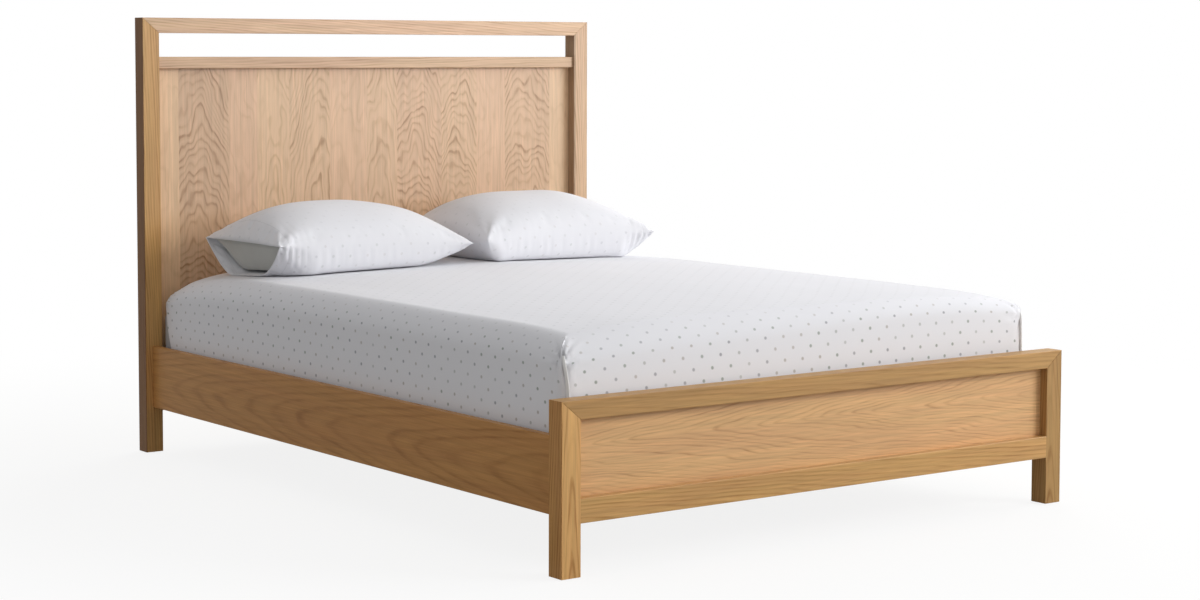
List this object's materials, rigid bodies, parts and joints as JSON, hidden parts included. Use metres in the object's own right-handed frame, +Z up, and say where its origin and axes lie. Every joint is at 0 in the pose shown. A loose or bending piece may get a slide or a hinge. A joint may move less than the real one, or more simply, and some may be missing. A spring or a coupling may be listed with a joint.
{
  "type": "panel bed",
  "caption": "Panel bed in light oak with an open slot under the headboard's top rail, a low panelled footboard, slatted base, mattress, fitted sheet and pillows.",
  "frame": {"origin": "on the floor under the middle of the bed", "axes": "+X to the right seen from the foot, +Y towards the headboard, +Z up"},
  "size_m": [1.64, 2.156, 1.3],
  "materials": {
    "oak_frame": "solid light oak, lengthwise grain, clear satin lacquer",
    "oak_veneer": "book-matched light oak veneer on plywood, clear satin lacquer",
    "pine_base": "planed pine, unfinished",
    "birch_keys": "birch, unfinished",
    "zinc_steel": "pressed steel, zinc plated",
    "zinc_screw": "wood screw steel, zinc plated",
    "felt_glide": "pressed brown felt",
    "black_plastic": "moulded nylon",
    "mattress_cover": "knitted light grey mattress ticking",
    "printed_cotton": "white cotton percale with small grey dots",
    "pillow_ticking": "plain cotton pillow ticking over fibre fill"
  },
  "bodies": {
    "frame": {"headboard_post_left": "oak_frame", "headboard_post_right": "oak_frame", "headboard_top_rail": "oak_frame", "headboard_bottom_rail": "oak_frame", "headboard_panel": "oak_veneer", "footboard_post_left": "oak_frame", "footboard_post_right": "oak_frame", "footboard_top_rail": "oak_frame", "footboard_bottom_rail": "oak_frame", "footboard_panel": "oak_veneer", "headboard_slot_rail": "oak_frame", "mitre_keys": "birch_keys", "post_glides": "felt_glide", "side_rail_left": "oak_frame", "slat_ledger_left": "pine_base", "side_rail_right": "oak_frame", "slat_ledger_right": "pine_base", "slat_01": "pine_base", "slat_02": "pine_base", "slat_03": "pine_base", "slat_04": "pine_base", "slat_05": "pine_base", "slat_06": "pine_base", "slat_07": "pine_base", "slat_08": "pine_base", "slat_09": "pine_base", "slat_10": "pine_base", "slat_11": "pine_base", "slat_12": "pine_base", "slat_13": "pine_base", "centre_beam": "pine_base", "beam_hanger_head": "zinc_steel", "beam_hanger_foot": "zinc_steel", "rail_hook_plates": "zinc_steel", "rail_catch_plates": "zinc_steel", "hook_plate_screws": "zinc_screw", "catch_plate_screws": "zinc_screw", "ledger_screws": "zinc_screw", "slat_screws": "zinc_screw", "hanger_screws": "zinc_screw", "leg_insert_nuts": "zinc_steel", "leg_dowels": "birch_keys", "centre_leg_front": "pine_base", "centre_leg_middle": "pine_base", "centre_leg_rear": "pine_base"},
    "mattress": {"mattress": "mattress_cover", "fitted_sheet": "printed_cotton"},
    "pillow_left": {"pillow_left": "pillow_ticking", "pillowcase_left": "printed_cotton"},
    "pillow_right": {"pillow_right": "pillow_ticking", "pillowcase_right": "printed_cotton"},
    "leveller_pad_front": {"leveller_pad_front": "black_plastic"},
    "leveller_stem_front": {"leveller_stem_front": "zinc_steel"},
    "leveller_pad_middle": {"leveller_pad_middle": "black_plastic"},
    "leveller_stem_middle": {"leveller_stem_middle": "zinc_steel"},
    "leveller_pad_rear": {"leveller_pad_rear": "black_plastic"},
    "leveller_stem_rear": {"leveller_stem_rear": "zinc_steel"}
  },
  "joints": [
    {"name": "mattress_lift", "type": "slide", "parent": "frame", "child": "mattress", "axis": [0, 0, 1], "range_m": [0, 0.25]},
    {"name": "pillow_left_lift", "type": "slide", "parent": "mattress", "child": "pillow_left", "axis": [0, 0, 1], "range_m": [0, 0.25]},
    {"name": "pillow_right_lift", "type": "slide", "parent": "mattress", "child": "pillow_right", "axis": [0, 0, 1], "range_m": [0, 0.25]},
    {"name": "leveller_front_lift", "type": "slide", "parent": "frame", "child": "leveller_pad_front", "axis": [0, 0, 1], "range_m": [0, 0.008]},
    {"name": "leveller_front_turn", "type": "hinge", "parent": "leveller_pad_front", "child": "leveller_stem_front", "pos_m": [0, -0.54, 0.014], "axis": [0, 0, 1], "range_deg": [0, 2304.1]},
    {"name": "leveller_middle_lift", "type": "slide", "parent": "frame", "child": "leveller_pad_middle", "axis": [0, 0, 1], "range_m": [0, 0.008]},
    {"name": "leveller_middle_turn", "type": "hinge", "parent": "leveller_pad_middle", "child": "leveller_stem_middle", "pos_m": [0, 0, 0.014], "axis": [0, 0, 1], "range_deg": [0, 2304.1]},
    {"name": "leveller_rear_lift", "type": "slide", "parent": "frame", "child": "leveller_pad_rear", "axis": [0, 0, 1], "range_m": [0, 0.008]},
    {"name": "leveller_rear_turn", "type": "hinge", "parent": "leveller_pad_rear", "child": "leveller_stem_rear", "pos_m": [0, 0.54, 0.014], "axis": [0, 0, 1], "range_deg": [0, 2304.1]}
  ],
  "couplings": [
    {"joint": "leveller_front_turn", "follows": "leveller_front_lift", "rad_per_m": 5026.5},
    {"joint": "leveller_middle_turn", "follows": "leveller_middle_lift", "rad_per_m": 5026.5},
    {"joint": "leveller_rear_turn", "follows": "leveller_rear_lift", "rad_per_m": 5026.5}
  ]
}
